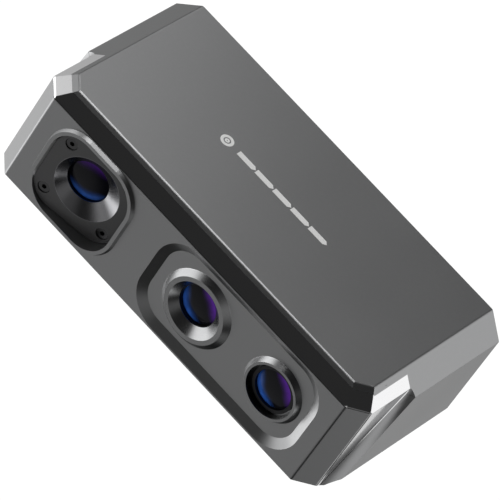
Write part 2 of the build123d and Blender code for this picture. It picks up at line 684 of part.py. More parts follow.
def electronics(projector_board_end):
    """Boards, chips, cooling and flat cables on the floor of the housing."""
    keep("main_board", main_board())
    keep("usb_socket", usb_socket())
    chip_top = board_top + 1.4
    pad_top = chip_top + 0.8
    chip = block((processor_x - 7.5, processor_x + 7.5), (processor_y - 7.5, processor_y + 7.5), (board_top, chip_top))
    pad = block((processor_x - 7, processor_x + 7), (processor_y - 7, processor_y + 7), (chip_top, pad_top))
    sink = block((processor_x - 10.5, processor_x + 10.5), (processor_y - 8.5, processor_y + 8.5), (pad_top, pad_top + 2))
    for index in range(7):
        x = processor_x - 10 + index * 20 / 6
        sink += block((x - 0.5, x + 0.5), (processor_y - 8.5, processor_y + 8.5), (pad_top + 2, pad_top + 8))
    keep("processor", chip)
    keep("thermal_pad", pad)
    keep("processor_heat_sink", sink)
    keep("memory_chips", Compound(children=[
        block((x - 4, x + 4), (y - 5, y + 5), (board_top, board_top + 1.0))
        for x, y in ((-9.5, board_rear - 18.5), (9.8, board_rear - 13.0))]))
    can = block((-32, -16), (board_rear - 16, board_rear - 2), (board_top, board_top + 2.4))
    can -= block((-31.7, -16.3), (board_rear - 15.7, board_rear - 2.3), (board_top - 1, board_top + 2.1))
    keep("shield_can", can)
    connectors = []
    for name, x in camera_cable_x.items():
        connectors.append(block((x - 5, x + 5), (sensor_board_back, sensor_board_back + connector_depth),
                                (optical_height - 7.5, optical_height - 4.5)))
        connectors.append(block((x - 5, x + 5), (board_front + 1, board_front + 3.6), (board_top, board_top + 1.2)))
        y_high = sensor_board_back + connector_depth / 2
        top, low = optical_height - 7.5, board_top + 1.9
        route = [(y_high, top), (y_high, low), (board_front + 2.3, low), (board_front + 2.3, board_top + 1.2)]
        keep(f"{name}_cable", flat_cable(route, cable_width, x))
    connectors.append(plate_frame * block((-4.5, 4.5), (projector_board_end, projector_board_end + 1.2), (10.2, 12.8)))
    drop = projector_board_end + 9.5
    floor = board_top - optical_height
    connectors.append(plate_frame * block((-4.5, 4.5), (drop - 1.3, drop + 1.3), (floor, floor + 1.2)))
    route = [(projector_board_end + 1.2, 11.5), (drop, 11.5), (drop, floor + 1.2)]
    keep("projector_cable", plate_frame * flat_cable(route, 7.0, 0))
    x = standoffs[0] + 1.0
    y = y_button_board + board_thickness / 2
    connectors.append(block((x - 2.5, x + 2.5), (y - 1.3, y + 1.3), (board_top, board_top + 1.2)))
    keep("button_cable", block((x - 2, x + 2), (y - 0.15, y + 0.15), (board_top + 1.2, button_height - 7.0)))
    keep("board_connectors", Compound(children=connectors))


# ------------------------------------------------------------------ fasteners
def tripod_insert():
    """Flanged bush with the tripod thread, pressed in from below."""
    bush = z_cylinder(0, tripod_y, 0, tripod_thread_length, insert_radius)
    bush += z_cylinder(0, tripod_y, 0, insert_flange, insert_flange_radius)
    return bush - z_cylinder(0, tripod_y, -1, tripod_thread_length + 1, tripod_minor_radius)


def case_screws():
    """Four long screws from below through both housing shells."""
    one = Rot(180, 0, 0) * screw(case_screw_radius, case_screw_length, case_head_radius, 2.0)
    return [Pos(x, y, case_head_depth) * one for x, y in post_places]


top_cover, body_shell = housing_shells()
keep("top_cover", top_cover)
keep("body_shell", body_shell)
keep("front_panel", front_panel_shape())
keep("rear_panel", rear_panel_shape())
keep("rear_seal", rear_seal())
projector_board_end = projector_parts()
camera_screws = camera_parts("inner_camera", inner_hood()) + camera_parts("outer_camera", outer_hood())
camera_screws += [screw_from("+Y", x, holder_front, z, bracket_thickness + 4.0) for x, z in bracket_places]
keep("camera_bracket", camera_bracket())
keep("camera_screws", Compound(children=camera_screws))
board_screws = button_parts()
electronics(projector_board_end)
board_screws += [screw_from("+Z", x, y, board_top, board_thickness + 3.0) for x, y in board_posts]
keep("board_screws", Compound(children=board_screws))
keep("tripod_insert", tripod_insert())
keep("case_screws", Compound(children=case_screws()))
keep("rear_panel_screws", Compound(children=[
    screw_from("+Y", x, y_rear_panel - small_head_height - 0.2, z, 7.0) for x, z in rear_screw_places]))

os.makedirs("parts", exist_ok=True)
for name, shape in nodes.items():
    export_step(shape, f"parts/{name}.step")
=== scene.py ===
import bpy
import bmesh
from math import cos, pi, radians, sin, tau
from mathutils import Matrix, Vector


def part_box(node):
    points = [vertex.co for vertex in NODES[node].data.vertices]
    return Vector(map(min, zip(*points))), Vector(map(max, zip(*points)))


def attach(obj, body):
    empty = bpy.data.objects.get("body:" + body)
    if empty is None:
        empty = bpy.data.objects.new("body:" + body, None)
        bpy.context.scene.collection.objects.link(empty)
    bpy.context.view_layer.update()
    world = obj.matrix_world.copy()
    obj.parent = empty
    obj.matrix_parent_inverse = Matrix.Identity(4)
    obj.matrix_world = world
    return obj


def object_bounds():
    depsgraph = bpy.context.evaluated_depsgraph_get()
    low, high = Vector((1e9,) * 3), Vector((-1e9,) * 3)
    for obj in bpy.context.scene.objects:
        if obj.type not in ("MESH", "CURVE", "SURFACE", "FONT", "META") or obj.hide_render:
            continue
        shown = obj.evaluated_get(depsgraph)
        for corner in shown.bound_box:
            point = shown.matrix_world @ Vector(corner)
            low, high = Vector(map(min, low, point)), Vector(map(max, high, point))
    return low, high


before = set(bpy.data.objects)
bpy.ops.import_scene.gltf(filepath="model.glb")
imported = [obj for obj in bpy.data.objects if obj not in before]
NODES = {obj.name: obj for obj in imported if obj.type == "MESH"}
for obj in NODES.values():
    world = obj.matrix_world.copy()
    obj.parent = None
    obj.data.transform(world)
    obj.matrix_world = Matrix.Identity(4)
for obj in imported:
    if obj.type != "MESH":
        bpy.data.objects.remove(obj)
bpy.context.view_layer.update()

bl_info = {
    "name": "Handheld Scanner",
    "version": (1, 0, 0),
    "blender": (4, 5, 0),
    "location": "View3D > Sidebar > Scanner",
    "description": "Finishes a faceted handheld scanner and sets it in a plain studio",
    "category": "Object",
}

MM = 0.001
LOW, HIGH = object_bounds()
COVER_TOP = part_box("top_cover")[1].z
PANEL_LOW, PANEL_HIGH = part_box("front_panel")
INSERT_LOW, INSERT_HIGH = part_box("tripod_insert")
SOCKET_LOW, SOCKET_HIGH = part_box("usb_socket")
MAIN_LOW, MAIN_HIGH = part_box("main_board")
PROJECTOR_TILT = radians(11.0)        # toed in towards the cameras
FUNNEL_RADIUS = 9.2 * MM
THREAD_BORE = 2.55 * MM
THREAD_DEPTH = 0.42 * MM
THREAD_FLANK = 0.42                   # half a ridge's width at its foot, in pitches

# the bright cut band, inwards from the housing's sides and back from its front face
COLLAR_RISE = 1.0 * MM                # the panel's collar stands this far before its face
BAND_SIDE = 4.8 * MM
BAND_FRONT = 3.2 * MM
BAND_CORNER = 12.25 * MM
BAND_END = 21.0 * MM
BAND_FOOT = 0.12 * MM                 # above the front panel
END_STEP = 2.0 * MM                   # bright faces stop this far inside the end walls
WALL_SKIN = 0.25 * MM                 # slice that holds the nose's upright side walls
BAND_BLUR = 0.06 * MM

DUST_COLOUR = (0.55, 0.53, 0.50)
GLASS_COLOUR = (0.003, 0.003, 0.005)
FUNNEL_COLOUR = (0.27, 0.27, 0.28)
CORNER_CUT = 0.12                     # of a small block's shorter side


# ------------------------------------------------------------------ settings
class ScannerSizes(bpy.types.PropertyGroup):
    mark_length: bpy.props.FloatProperty(
        name="Mark length", description="Length of the plain printed mark on the top face",
        default=0.036, unit="LENGTH")
    mark_stroke: bpy.props.FloatProperty(
        name="Mark stroke", description="Width of the printed lines",
        default=0.00085, unit="LENGTH")
    print_thickness: bpy.props.FloatProperty(
        name="Print thickness", description="How far printed ink stands above the metal",
        default=0.00002, unit="LENGTH")
    thread_pitch: bpy.props.FloatProperty(
        name="Thread pitch", description="Pitch of the tripod thread",
        default=0.00127, unit="LENGTH")


class ScannerColours(bpy.types.PropertyGroup):
    anodised: bpy.props.FloatVectorProperty(
        name="Anodised metal", description="Satin dark grey of the housing", subtype="COLOR",
        size=3, min=0, max=1, default=(0.285, 0.287, 0.29))
    polished: bpy.props.FloatVectorProperty(
        name="Polished metal", description="Bright cut facets round the nose", subtype="COLOR",
        size=3, min=0, max=1, default=(0.74, 0.74, 0.745))
    plate: bpy.props.FloatVectorProperty(
        name="Plate", description="Matte dark paint of the projector plate", subtype="COLOR",
        size=3, min=0, max=1, default=(0.040, 0.040, 0.041))
    ink: bpy.props.FloatVectorProperty(
        name="Ink", description="Printed mark", subtype="COLOR",
        size=3, min=0, max=1, default=(0.93, 0.93, 0.92))
    solder_mask: bpy.props.FloatVectorProperty(
        name="Solder mask", description="Circuit boards", subtype="COLOR",
        size=3, min=0, max=1, default=(0.010, 0.085, 0.035))


def sizes():
    return bpy.context.scene.scanner_sizes


def colours():
    return bpy.context.scene.scanner_colours


# ------------------------------------------------------------------ shader groups
def new_group(name, inputs, outputs):
    """Shader group with named sockets; returns it with its input and output nodes."""
    group = bpy.data.node_groups.new(name, "ShaderNodeTree")
    for label, kind, value in inputs:
        socket = group.interface.new_socket(name=label, in_out="INPUT", socket_type=kind)
        socket.default_value = value
    for label, kind in outputs:
        group.interface.new_socket(name=label, in_out="OUTPUT", socket_type=kind)
    return group, group.nodes.new("NodeGroupInput"), group.nodes.new("NodeGroupOutput")


def math_node(tree, operation, first, second=None, clamp=False):
    """Math node fed by sockets or numbers; returns its output socket."""
    node = tree.nodes.new("ShaderNodeMath")
    node.operation = operation
    node.use_clamp = clamp
    for index, value in enumerate((first, second)):
        if value is None:
            continue
        if isinstance(value, (int, float)):
            node.inputs[index].default_value = value
        else:
            tree.links.new(value, node.inputs[index])
    return node.outputs[0]


def ramp_between(tree, value, low, high, out_low=0.0, out_high=1.0):
    """Smooth step of a value between two limits."""
    node = tree.nodes.new("ShaderNodeMapRange")
    node.interpolation_type = "SMOOTHSTEP"
    settings = {"Value": value, "From Min": low, "From Max": high, "To Min": out_low, "To Max": out_high}
    for key, item in settings.items():
        if isinstance(item, (int, float)):
            node.inputs[key].default_value = item
        else:
            tree.links.new(item, node.inputs[key])
    return node.outputs["Result"]


def noise(tree, scale, detail=2.0, stretch=None):
    """Noise over the object's own coordinates, in metres; returns its value."""
    place = tree.nodes.new("ShaderNodeTexCoord")
    source = place.outputs["Object"]
    if stretch:
        mapping = tree.nodes.new("ShaderNodeMapping")
        mapping.inputs["Scale"].default_value = stretch
        tree.links.new(source, mapping.inputs["Vector"])
        source = mapping.outputs["Vector"]
    node = tree.nodes.new("ShaderNodeTexNoise")
    node.inputs["Detail"].default_value = detail
    tree.links.new(source, node.inputs["Vector"])
    if isinstance(scale, (int, float)):
        node.inputs["Scale"].default_value = scale
    else:
        tree.links.new(scale, node.inputs["Scale"])
    return node.outputs["Fac"]


def grain_group():
    """Fine grain of blasted or moulded surfaces, and slow uneven patches."""
    if "Fine Grain" in bpy.data.node_groups:
        return bpy.data.node_groups["Fine Grain"]
    group, start, end = new_group(
        "Fine Grain",
        [("Grain Scale", "NodeSocketFloat", 4000.0), ("Patch Scale", "NodeSocketFloat", 60.0),
         ("Middle", "NodeSocketFloat", 0.35), ("Spread", "NodeSocketFloat", 0.08)],
        [("Height", "NodeSocketFloat"), ("Roughness", "NodeSocketFloat")])
    fine = noise(group, start.outputs["Grain Scale"], 1.0)
    slow = noise(group, start.outputs["Patch Scale"], 3.0)
    fine_share = math_node(group, "MULTIPLY", fine, 0.4)
    slow_share = math_node(group, "MULTIPLY", slow, 0.6)
    both = math_node(group, "ADD", fine_share, slow_share)
    offset = math_node(group, "MULTIPLY", math_node(group, "SUBTRACT", both, 0.5), start.outputs["Spread"])
    rough = math_node(group, "ADD", offset, start.outputs["Middle"], clamp=True)
    group.links.new(fine, end.inputs["Height"])
    group.links.new(rough, end.inputs["Roughness"])
    return group


def wear_group():
    """Mask of edges that rub bright: where a rounded normal leaves the flat one."""
    if "Edge Wear" in bpy.data.node_groups:
        return bpy.data.node_groups["Edge Wear"]
    group, start, end = new_group(
        "Edge Wear",
        [("Width", "NodeSocketFloat", 0.0002), ("Breakup Scale", "NodeSocketFloat", 300.0),
         ("Amount", "NodeSocketFloat", 0.4)],
        [("Mask", "NodeSocketFloat")])
    soft = group.nodes.new("ShaderNodeBevel")
    soft.samples = 4
    group.links.new(start.outputs["Width"], soft.inputs["Radius"])
    flat = group.nodes.new("ShaderNodeNewGeometry")
    dot = group.nodes.new("ShaderNodeVectorMath")
    dot.operation = "DOT_PRODUCT"
    group.links.new(soft.outputs["Normal"], dot.inputs[0])
    group.links.new(flat.outputs["Normal"], dot.inputs[1])
    edge = ramp_between(group, dot.outputs["Value"], 0.98, 0.75)
    broken = ramp_between(group, noise(group, start.outputs["Breakup Scale"], 3.0), 0.35, 0.65, 0.4, 1.0)
    worn = math_node(group, "MULTIPLY", edge, broken)
    mask = math_node(group, "MULTIPLY", worn, start.outputs["Amount"], clamp=True)
    group.links.new(mask, end.inputs["Mask"])
    return group


def dust_group():
    """Thin dust that settles on faces that look up."""
    if "Settled Dust" in bpy.data.node_groups:
        return bpy.data.node_groups["Settled Dust"]
    group, start, end = new_group(
        "Settled Dust",
        [("Amount", "NodeSocketFloat", 0.02), ("Speck Scale", "NodeSocketFloat", 900.0)],
        [("Mask", "NodeSocketFloat")])
    flat = group.nodes.new("ShaderNodeNewGeometry")
    parts = group.nodes.new("ShaderNodeSeparateXYZ")
    group.links.new(flat.outputs["Normal"], parts.inputs[0])
    up = ramp_between(group, parts.outputs["Z"], 0.2, 0.95)
    specks = ramp_between(group, noise(group, start.outputs["Speck Scale"], 2.0), 0.45, 0.75)
    settled = math_node(group, "MULTIPLY", up, specks)
    mask = math_node(group, "MULTIPLY", settled, start.outputs["Amount"], clamp=True)
    group.links.new(mask, end.inputs["Mask"])
    return group


def place_group(material, group, **values):
    """The group in a material, with its own values."""
    node = material.node_tree.nodes.new("ShaderNodeGroup")
    node.node_tree = group
    for label, value in values.items():
        node.inputs[label.replace("_", " ")].default_value = value
    return node


# ------------------------------------------------------------------ materials
def new_material(name):
    """Material with one Principled shader."""
    material = bpy.data.materials.new(name)
    material.use_nodes = True
    return material, material.node_tree, material.node_tree.nodes["Principled BSDF"]


def mix_colour(tree, factor, first, second):
    """Mix of two colours, each a colour or a socket."""
    node = tree.nodes.new("ShaderNodeMix")
    node.data_type = "RGBA"
    if isinstance(factor, (int, float)):
        node.inputs["Factor"].default_value = factor
    else:
        tree.links.new(factor, node.inputs["Factor"])
    for key, value in (("A", first), ("B", second)):
        sockets = [s for s in node.inputs if s.name == key and s.type == "RGBA"]
        if isinstance(value, (tuple, list)):
            sockets[0].default_value = (*value[:3], 1.0)
        else:
            tree.links.new(value, sockets[0])
    return [s for s in node.outputs if s.type == "RGBA"][0]


def add_bump(tree, shader, height, distance, strength=0.3):
    """Bump from a height, in metres."""
    bump = tree.nodes.new("ShaderNodeBump")
    bump.inputs["Distance"].default_value = distance
    bump.inputs["Strength"].default_value = strength
    tree.links.new(height, bump.inputs["Height"])
    tree.links.new(bump.outputs["Normal"], shader.inputs["Normal"])


def plain_finish(name, colour, metallic, rough, spread=0.08, grain=3500.0, wear=0.0, bright=None,
                 dust=0.03, depth=0.00001, coat=0.0):
    """Finish shared by most pieces: grain, patches, worn edges and a little dust."""
    material, tree, shader = new_material(name)
    shader.inputs["Metallic"].default_value = metallic
    shader.inputs["Coat Weight"].default_value = coat
    grained = place_group(material, grain_group(), Grain_Scale=grain, Middle=rough, Spread=spread)
    dusty = place_group(material, dust_group(), Amount=dust)
    colour = tuple(colour)
    base = mix_colour(tree, grained.outputs["Height"], tuple(c * 0.94 for c in colour),
                      tuple(min(1.0, c * 1.06) for c in colour))
    if wear:
        worn = place_group(material, wear_group(), Amount=wear)
        rubbed = bright or tuple(min(1.0, c * 2.2) for c in colour)
        base = mix_colour(tree, worn.outputs["Mask"], base, rubbed)
    base = mix_colour(tree, dusty.outputs["Mask"], base, DUST_COLOUR)
    tree.links.new(base, shader.inputs["Base Color"])
    tree.links.new(grained.outputs["Roughness"], shader.inputs["Roughness"])
    add_bump(tree, shader, grained.outputs["Height"], depth)
    return material


def polished_mask(tree):
    """One inside the bright cut band round the nose and on the nose's upright side walls."""
    geometry = tree.nodes.new("ShaderNodeTexCoord")
    parts = tree.nodes.new("ShaderNodeSeparateXYZ")
    tree.links.new(geometry.outputs["Object"], parts.inputs[0])
    half = HIGH.x
    front = PANEL_LOW.y + COLLAR_RISE
    panel_top = PANEL_HIGH.z
    across = math_node(tree, "ABSOLUTE", parts.outputs["X"])
    y, z = parts.outputs["Y"], parts.outputs["Z"]

    def beyond(value, line):
        return ramp_between(tree, value, line - BAND_BLUR, line + BAND_BLUR)

    def short_of(value, line):
        return ramp_between(tree, value, line - BAND_BLUR, line + BAND_BLUR, 1.0, 0.0)

    def both(first, second):
        return math_node(tree, "MULTIPLY", first, second)

    side = beyond(across, half - BAND_SIDE)
    face = short_of(y, front + BAND_FRONT)
    corner = beyond(math_node(tree, "SUBTRACT", across, y), half - front - BAND_CORNER)
    ring = math_node(tree, "MAXIMUM", math_node(tree, "MAXIMUM", side, face), corner)
    above = beyond(z, panel_top + BAND_FOOT)
    ahead = short_of(y, front + BAND_END)
    nose = short_of(across, half - END_STEP)
    band = both(both(ring, above), both(ahead, nose))
    upright = beyond(across, half - END_STEP - WALL_SKIN)
    wall = both(both(both(upright, nose), short_of(z, panel_top)), ahead)
    return math_node(tree, "MAXIMUM", band, wall, clamp=True)


def housing_finish():
    """Satin anodised metal with a bright cut band."""
    material, tree, shader = new_material("Satin Anodised Housing")
    grained = place_group(material, grain_group(), Grain_Scale=5200.0, Patch_Scale=45.0,
                          Middle=0.34, Spread=0.07)
    worn = place_group(material, wear_group(), Amount=0.04, Width=0.00012)
    dusty = place_group(material, dust_group(), Amount=0.02)
    satin, bright = tuple(colours().anodised), tuple(colours().polished)
    mask = polished_mask(tree)
    base = mix_colour(tree, grained.outputs["Height"], tuple(c * 0.96 for c in satin),
                      tuple(c * 1.04 for c in satin))
    base = mix_colour(tree, worn.outputs["Mask"], base, tuple(c * 2.0 for c in satin))
    base = mix_colour(tree, mask, base, bright)
    base = mix_colour(tree, dusty.outputs["Mask"], base, DUST_COLOUR)
    tree.links.new(base, shader.inputs["Base Color"])
    shader.inputs["Metallic"].default_value = 1.0
    polish = tree.nodes.new("ShaderNodeMix")
    tree.links.new(mask, polish.inputs["Factor"])
    tree.links.new(grained.outputs["Roughness"], polish.inputs["A"])
    polish.inputs["B"].default_value = 0.09
    tree.links.new(polish.outputs["Result"], shader.inputs["Roughness"])
    keep = math_node(tree, "SUBTRACT", 1.0, mask)
    height = math_node(tree, "MULTIPLY", grained.outputs["Height"], keep)
    add_bump(tree, shader, height, 0.000008, 0.25)
    return material


def lens_finish(name, centre, blue, violet, reach, slant=0.9):
    """Dark coated glass with painted reflections: a blue crescent is painted near the rim at one side and a
    violet one at the other.
    """
    material, tree, shader = new_material(name)
    shader.inputs["Metallic"].default_value = 0.0
    shader.inputs["Transmission Weight"].default_value = 0.1
    shader.inputs["IOR"].default_value = 1.4
    shader.inputs["Specular IOR Level"].default_value = 0.22
    grained = place_group(material, grain_group(), Grain_Scale=900.0, Middle=0.035, Spread=0.02)
    tree.links.new(grained.outputs["Roughness"], shader.inputs["Roughness"])
    place = tree.nodes.new("ShaderNodeTexCoord")
    parts = tree.nodes.new("ShaderNodeSeparateXYZ")
    tree.links.new(place.outputs["Object"], parts.inputs[0])
    x = math_node(tree, "SUBTRACT", parts.outputs["X"], centre.x)
    z = math_node(tree, "SUBTRACT", parts.outputs["Z"], centre.z)
    radius = math_node(tree, "SQRT", math_node(tree, "ADD", math_node(tree, "MULTIPLY", x, x),
                                               math_node(tree, "MULTIPLY", z, z)))
    # Painted reflections: near the rim, blue is painted on the low side of the slanted line and violet on the
    # high side, broken up by streaks.
    rim = ramp_between(tree, radius, reach * 0.30, reach * 0.98)
    lean = math_node(tree, "ADD", math_node(tree, "MULTIPLY", x, slant), z)
    lower = ramp_between(tree, lean, -reach * 0.25, -reach * 1.15)
    upper = ramp_between(tree, lean, reach * 0.35, reach * 1.15)
    streak = ramp_between(tree, noise(tree, 500.0, 2.0), 0.3, 0.7, 0.75, 1.0)
    low_reflection_mask = math_node(tree, "MULTIPLY", math_node(tree, "MULTIPLY", rim, lower), streak)
    high_reflection_mask = math_node(tree, "MULTIPLY", math_node(tree, "MULTIPLY", rim, upper), streak)
    base = mix_colour(tree, low_reflection_mask, GLASS_COLOUR, blue)
    base = mix_colour(tree, high_reflection_mask, base, violet)
    tree.links.new(base, shader.inputs["Base Color"])
    return material


def board_finish():
    """Green solder mask with faint copper runs below it."""
    material, tree, shader = new_material("Solder Mask")
    mask = tuple(colours().solder_mask)
    place = tree.nodes.new("ShaderNodeTexCoord")
    wave = tree.nodes.new("ShaderNodeTexWave")
    wave.inputs["Scale"].default_value = 260.0
    wave.inputs["Distortion"].default_value = 5.0
    wave.inputs["Detail"].default_value = 1.0
    tree.links.new(place.outputs["Object"], wave.inputs["Vector"])
    runs = ramp_between(tree, wave.outputs["Fac"], 0.55, 0.62)
    base = mix_colour(tree, runs, mask, tuple(c * 1.9 for c in mask))
    grained = place_group(material, grain_group(), Grain_Scale=1500.0, Middle=0.36, Spread=0.1)
    tree.links.new(base, shader.inputs["Base Color"])
    tree.links.new(grained.outputs["Roughness"], shader.inputs["Roughness"])
    add_bump(tree, shader, runs, 0.00003)
    return material


def brushed_finish(name, colour, rough, stretch):
    """Bare metal with fine parallel marks."""
    material, tree, shader = new_material(name)
    shader.inputs["Metallic"].default_value = 1.0
    marks = noise(tree, 900.0, 3.0, stretch)
    worn = place_group(material, wear_group(), Amount=0.3, Width=0.0001)
    colour = tuple(colour)
    base = mix_colour(tree, marks, tuple(c * 0.86 for c in colour),
                      tuple(min(1.0, c * 1.1) for c in colour))
    base = mix_colour(tree, worn.outputs["Mask"], base, tuple(min(1.0, c * 1.6) for c in colour))
    tree.links.new(base, shader.inputs["Base Color"])
    tree.links.new(ramp_between(tree, marks, 0.2, 0.8, rough - 0.06, rough + 0.1), shader.inputs["Roughness"])
    add_bump(tree, shader, marks, 0.00001)
    return material


def dress(material, names):
    """Gives CAD nodes a material; their meshes stay as they are."""
    for name in names:
        node = NODES[name]
        for index in range(max(1, len(node.material_slots))):
            if index < len(node.material_slots):
                node.material_slots[index].material = material
            else:
                node.data.materials.append(material)


# ------------------------------------------------------------------ extra pieces
def new_piece(name, verts, faces, material, body="housing"):
    """Closed mesh that rides a body."""
    mesh = bpy.data.meshes.new(name)
    mesh.from_pydata(verts, [], faces)
    work = bmesh.new()
    work.from_mesh(mesh)
    bmesh.ops.recalc_face_normals(work, faces=work.faces)
    work.to_mesh(mesh)
    work.free()
    mesh.update()
    piece = bpy.data.objects.new(name, mesh)
    bpy.context.scene.collection.objects.link(piece)
    mesh.materials.append(material)
    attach(piece, body)
    return piece


def add_prism(verts, faces, outline, low, high):
    """Prism between two heights over a plan outline, added to the lists."""
    start, count = len(verts), len(outline)
    verts += [(x, y, low) for x, y in outline] + [(x, y, high) for x, y in outline]
    faces.append([start + i for i in reversed(range(count))])
    faces.append([start + count + i for i in range(count)])
    for i in range(count):
        j = (i + 1) % count
        faces.append([start + i, start + j, start + count + j, start + count + i])


def add_ring(verts, faces, x, y, inner, outer, low, high, steps=64):
    """Flat ring between two heights."""
    start = len(verts)
    for radius, z in ((inner, low), (outer, low), (outer, high), (inner, high)):
        angles = [tau * i / steps for i in range(steps)]
        verts += [(x + radius * cos(angle), y + radius * sin(angle), z) for angle in angles]
    for i in range(steps):
        j = (i + 1) % steps
        for level in range(4):
            after = (level + 1) % 4
            faces.append([start + level * steps + i, start + level * steps + j,
                          start + after * steps + j, start + after * steps + i])


def add_block(verts, faces, centre, size):
    """Small block with cut upright corners."""
    cut = min(size[0], size[1]) * CORNER_CUT
    hx, hy = size[0] / 2, size[1] / 2
    outline = [(hx - cut, -hy), (hx, -hy + cut), (hx, hy - cut), (hx - cut, hy),
               (-hx + cut, hy), (-hx, hy - cut), (-hx, -hy + cut), (-hx + cut, -hy)]
    outline = [(centre[0] + x, centre[1] + y) for x, y in outline]
    add_prism(verts, faces, outline, centre[2] - size[2] / 2, centre[2] + size[2] / 2)


class SCANNER_OT_housing(bpy.types.Operator):
    """Satin housing with its bright cut band, and the plain printed mark on its top"""
    bl_idname = "scanner.housing"
    bl_label = "Housing"

    def execute(self, context):
        dress(housing_finish(), ["top_cover", "body_shell", "front_panel"])
        size = sizes()
        ink = plain_finish("Printed Ink", colours().ink, 0.0, 0.5, wear=0.0, dust=0.0)
        verts, faces = [], []
        low, high = COVER_TOP, COVER_TOP + size.print_thickness
        stroke = size.mark_stroke
        y = 1.8 * MM
        ring_radius = 1.9 * MM
        dot_inner, dot_outer = 0.15 * MM, 0.7 * MM
        start = -size.mark_length / 2 - 1.5 * MM
        add_ring(verts, faces, start, y, ring_radius - stroke, ring_radius, low, high)
        add_ring(verts, faces, start, y, dot_inner, dot_outer, low, high)
        first, dash, gap, dashes = 4.2 * MM, 5.4 * MM, 1.1 * MM, 5
        for index in range(dashes):
            left = start + first + index * (dash + gap)
            right = left + dash
            run = [(left, y - stroke), (right, y - stroke), (right + stroke, y),
                   (right, y + stroke), (left, y + stroke)]
            add_prism(verts, faces, run, low, high)
        new_piece("top_mark", verts, faces, ink)
        return {"FINISHED"}


class SCANNER_OT_rear(bpy.types.Operator):
    """Rear panel, its seal, the scan button and the status light"""
    bl_idname = "scanner.rear"
    bl_label = "Rear panel and button"

    def execute(self, context):
        dress(plain_finish("Near Black Anodised", (0.10, 0.10, 0.105), 1.0, 0.38, wear=0.25), ["rear_panel"])
        dress(plain_finish("Seal Rubber", (0.02, 0.02, 0.02), 0.0, 0.75, grain=1800.0), ["rear_seal"])
        dress(plain_finish("Satin Button", (0.34, 0.34, 0.35), 1.0, 0.28, wear=0.35), ["scan_button"])
        dress(plain_finish("Red Plunger", (0.45, 0.03, 0.02), 0.0, 0.5), ["switch_plunger"])
        light, tree, shader = new_material("Light Pipe")
        grained = place_group(light, grain_group(), Grain_Scale=700.0, Middle=0.14, Spread=0.06)
        tree.links.new(grained.outputs["Roughness"], shader.inputs["Roughness"])
        tint = mix_colour(tree, grained.outputs["Height"], (0.80, 0.86, 0.88), (0.92, 0.95, 0.97))
        tree.links.new(tint, shader.inputs["Base Color"])
        shader.inputs["Transmission Weight"].default_value = 0.5
        dress(light, ["status_light_pipe"])
        gold = brushed_finish("Contact Gold", (0.83, 0.62, 0.26), 0.25, (1.0, 8.0, 1.0))
        verts, faces = [], []
        middle = (SOCKET_LOW + SOCKET_HIGH) / 2
        contacts, pitch = 6, 1.0 * MM
        half_tongue, proud = 0.35 * MM, 0.015 * MM
        strip = (0.45 * MM, 3.4 * MM, 0.04 * MM)
        y = SOCKET_HIGH.y - 3.2 * MM
        for index in range(contacts):
            x = (index - (contacts - 1) / 2) * pitch
            for side in (-1, 1):
                z = middle.z + side * (half_tongue + proud)
                add_block(verts, faces, (x, y, z), strip)
        new_piece("socket_contacts", verts, faces, gold)
        return {"FINISHED"}


class SCANNER_OT_projector(bpy.types.Operator):
    """Projector plate, its screws and the projector's glass"""
    bl_idname = "scanner.projector"
    bl_label = "Projector"

    def execute(self, context):
        dress(self.plate_finish(), ["projector_plate"])
        # The plate screws get a darker metal than the other screws: painted shade of the dark recess they sit
        # in.
        dress(plain_finish("Screw With Painted Recess Shade", (0.09, 0.09, 0.092), 1.0, 0.24, wear=0.4, dust=0.0),
              ["projector_plate_screws"])
        low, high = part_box("projector_front_lens")
        reach = (high.z - low.z) / 2
        # The blue and violet here are painted reflections near the projector lens rim, not the colour of its
        # coating.
        glass = lens_finish("Violet Reflection Painted Glass", (low + high) / 2, (0.05, 0.16, 0.62), (0.10, 0.02, 0.30),
                            reach, -0.2)
        dress(glass, ["projector_front_lens", "projector_rear_lens", "pattern_mask"])
        return {"FINISHED"}

    def plate_finish(self):
        """Matte paint with a bright turned funnel round the plate's own tilted axis."""
        paint = tuple(colours().plate)
        material = plain_finish("Matte Plate Paint", paint, 0.0, 0.46, spread=0.12, grain=2600.0)
        tree = material.node_tree
        shader = tree.nodes["Principled BSDF"]
        low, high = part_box("projector_plate")
        middle = (low + high) / 2
        place = tree.nodes.new("ShaderNodeTexCoord")
        away = tree.nodes.new("ShaderNodeVectorMath")
        away.operation = "SUBTRACT"
        away.inputs[1].default_value = middle
        tree.links.new(place.outputs["Object"], away.inputs[0])
        axis = Vector((sin(PROJECTOR_TILT), -cos(PROJECTOR_TILT), 0.0))
        cross = tree.nodes.new("ShaderNodeVectorMath")
        cross.operation = "CROSS_PRODUCT"
        cross.inputs[1].default_value = axis
        tree.links.new(away.outputs["Vector"], cross.inputs[0])
        length = tree.nodes.new("ShaderNodeVectorMath")
        length.operation = "LENGTH"
        tree.links.new(cross.outputs["Vector"], length.inputs[0])
        funnel = ramp_between(tree, length.outputs["Value"], FUNNEL_RADIUS + 0.05 * MM,
                              FUNNEL_RADIUS + 0.10 * MM, 1.0, 0.0)
        base = shader.inputs["Base Color"].links[0].from_socket
        rough = shader.inputs["Roughness"].links[0].from_socket
        tree.links.new(mix_colour(tree, funnel, base, FUNNEL_COLOUR), shader.inputs["Base Color"])
        tree.links.new(funnel, shader.inputs["Metallic"])
        turned = tree.nodes.new("ShaderNodeMix")
        tree.links.new(funnel, turned.inputs["Factor"])
        tree.links.new(rough, turned.inputs["A"])
        turned.inputs["B"].default_value = 0.22
        tree.links.new(turned.outputs["Result"], shader.inputs["Roughness"])
        return material


